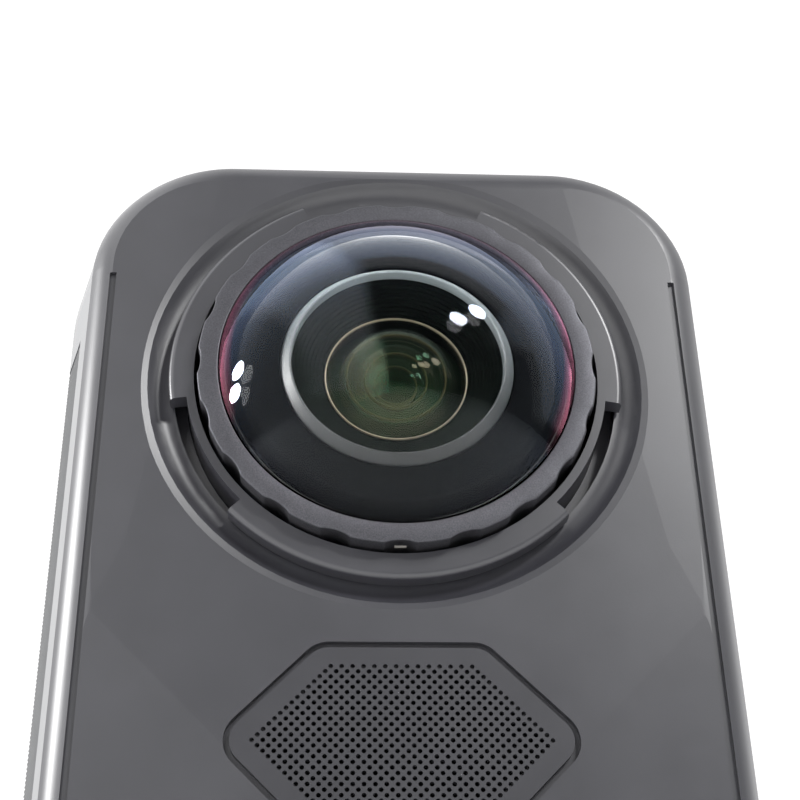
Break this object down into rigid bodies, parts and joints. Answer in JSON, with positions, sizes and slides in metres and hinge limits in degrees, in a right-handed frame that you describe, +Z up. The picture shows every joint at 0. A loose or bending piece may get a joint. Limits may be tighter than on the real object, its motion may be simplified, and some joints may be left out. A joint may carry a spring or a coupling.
{
  "type": "360 degree camera",
  "caption": "Pocket 360 degree camera: tall rounded slab body with a domed fisheye lens in a scalloped ring on each broad face, sound grille, touchscreen, battery and tripod socket.",
  "frame": {"origin": "middle of the base's underside, on the plane that the camera stands on", "axes": "+Z up the tall body, X across its width, -Y out of the lens face with the sound grille, +Y out of the touchscreen face"},
  "size_m": [0.046, 0.0382, 0.1245],
  "materials": {
    "frame": "matte dark anodised",
    "shell": "fine matte",
    "grip": "finely ribbed, matte",
    "grille": "matte dark, perforated",
    "guard": "open mesh",
    "collar": "satin",
    "ring": "bead blasted",
    "dome": "polished and coated",
    "seal": "soft",
    "lens_black": "blackened",
    "pale_ring": "ground",
    "element": "polished and coated",
    "sensor": "polished",
    "board": "solder resist",
    "chip": "moulded",
    "spreader": "plain",
    "steel": "plain",
    "touch_glass": "polished black",
    "display": "dark panel",
    "key": "satin",
    "base": "matte dark anodised",
    "battery": "matte wrap",
    "card": "moulded",
    "light": "clear",
    "pad": "moulded"
  },
  "bodies": {
    "body": {"mid_frame": "frame", "grille_side_shell": "shell", "screen_side_shell": "shell", "left_side_grip": "grip", "right_side_grip": "grip", "hex_grille": "grille", "wind_guard": "guard", "speaker": "chip", "touch_glass": "touch_glass", "display_panel": "display", "key_switches": "chip", "key_board": "board", "status_window": "light", "heat_spreader": "spreader", "main_board": "board", "main_chips": "chip", "microphones": "chip", "base_plate": "base", "base_screws": "steel", "barrel_screws": "steel", "tripod_socket": "steel", "side_switch_strip": "pad", "usb_connector": "steel", "usb_board": "board", "hinge_pin": "steel", "battery_contacts": "pad", "card_socket": "steel", "rear_elements": "element", "image_sensors": "sensor", "sensor_boards": "board", "grille_bayonet_collar": "collar", "grille_lens_barrel": "lens_black", "grille_front_baffle": "lens_black", "grille_inner_ring": "pale_ring", "grille_stepped_cone": "lens_black", "grille_second_element": "element", "screen_bayonet_collar": "collar", "screen_lens_barrel": "lens_black", "screen_front_baffle": "lens_black", "screen_inner_ring": "pale_ring", "screen_stepped_cone": "lens_black", "screen_second_element": "element"},
    "grille_lens_cell": {"grille_dome_glass": "dome", "grille_dome_seal": "seal"},
    "grille_ring": {"grille_lens_ring": "ring"},
    "screen_lens_cell": {"screen_dome_glass": "dome", "screen_dome_seal": "seal"},
    "screen_ring": {"screen_lens_ring": "ring"},
    "shutter_key": {"shutter_button": "key"},
    "lens_key": {"lens_button": "key"},
    "power_key": {"power_button": "key"},
    "quick_key": {"quick_button": "key"},
    "connector_door": {"usb_door": "key", "door_seal": "seal"},
    "door_catch": {"door_latch": "key"},
    "battery": {"battery_pack": "battery", "battery_cover": "grip", "cover_seal": "seal"},
    "battery_catch": {"battery_latch": "key"},
    "card": {"memory_card": "card"}
  },
  "joints": [
    {"name": "grille_lens_lift", "type": "slide", "parent": "body", "child": "grille_lens_cell", "axis": [0, -1, 0], "range_m": [0, 0.0015]},
    {"name": "grille_ring_turn", "type": "hinge", "parent": "grille_lens_cell", "child": "grille_ring", "pos_m": [0, -0.0137, 0.1041], "axis": [0, -1, 0], "range_deg": [0, 720]},
    {"name": "screen_lens_lift", "type": "slide", "parent": "body", "child": "screen_lens_cell", "axis": [0, 1, 0], "range_m": [0, 0.0015]},
    {"name": "screen_ring_turn", "type": "hinge", "parent": "screen_lens_cell", "child": "screen_ring", "pos_m": [0, 0.0137, 0.1041], "axis": [0, 1, 0], "range_deg": [0, 720]},
    {"name": "shutter_press", "type": "slide", "parent": "body", "child": "shutter_key", "axis": [0, -1, 0], "range_m": [0, 0.0004], "stiffness_N_per_m": 600},
    {"name": "lens_key_press", "type": "slide", "parent": "body", "child": "lens_key", "axis": [0, -1, 0], "range_m": [0, 0.0004], "stiffness_N_per_m": 600},
    {"name": "power_press", "type": "slide", "parent": "body", "child": "power_key", "axis": [1, 0, 0], "range_m": [0, 0.0004], "stiffness_N_per_m": 600},
    {"name": "quick_press", "type": "slide", "parent": "body", "child": "quick_key", "axis": [1, 0, 0], "range_m": [0, 0.0004], "stiffness_N_per_m": 600},
    {"name": "door_swing", "type": "hinge", "parent": "body", "child": "connector_door", "pos_m": [-0.0218, 0.005, 0.0335], "axis": [0, 0, -1], "range_deg": [0, 95]},
    {"name": "door_latch_slide", "type": "slide", "parent": "connector_door", "child": "door_catch", "axis": [0, 0, 1], "range_m": [0, 0.0015]},
    {"name": "battery_slide", "type": "slide", "parent": "body", "child": "battery", "axis": [1, 0, 0], "range_m": [0, 0.04]},
    {"name": "battery_latch_slide", "type": "slide", "parent": "body", "child": "battery_catch", "axis": [0, 1, 0], "range_m": [0, 0.002]},
    {"name": "card_push", "type": "slide", "parent": "body", "child": "card", "axis": [-1, 0, 0], "range_m": [0, 0.0008], "stiffness_N_per_m": 300}
  ],
  "couplings": [
    {"joint": "grille_lens_lift", "follows": "grille_ring_turn", "m_per_rad": 0.00011937},
    {"joint": "screen_lens_lift", "follows": "screen_ring_turn", "m_per_rad": 0.00011937}
  ]
}
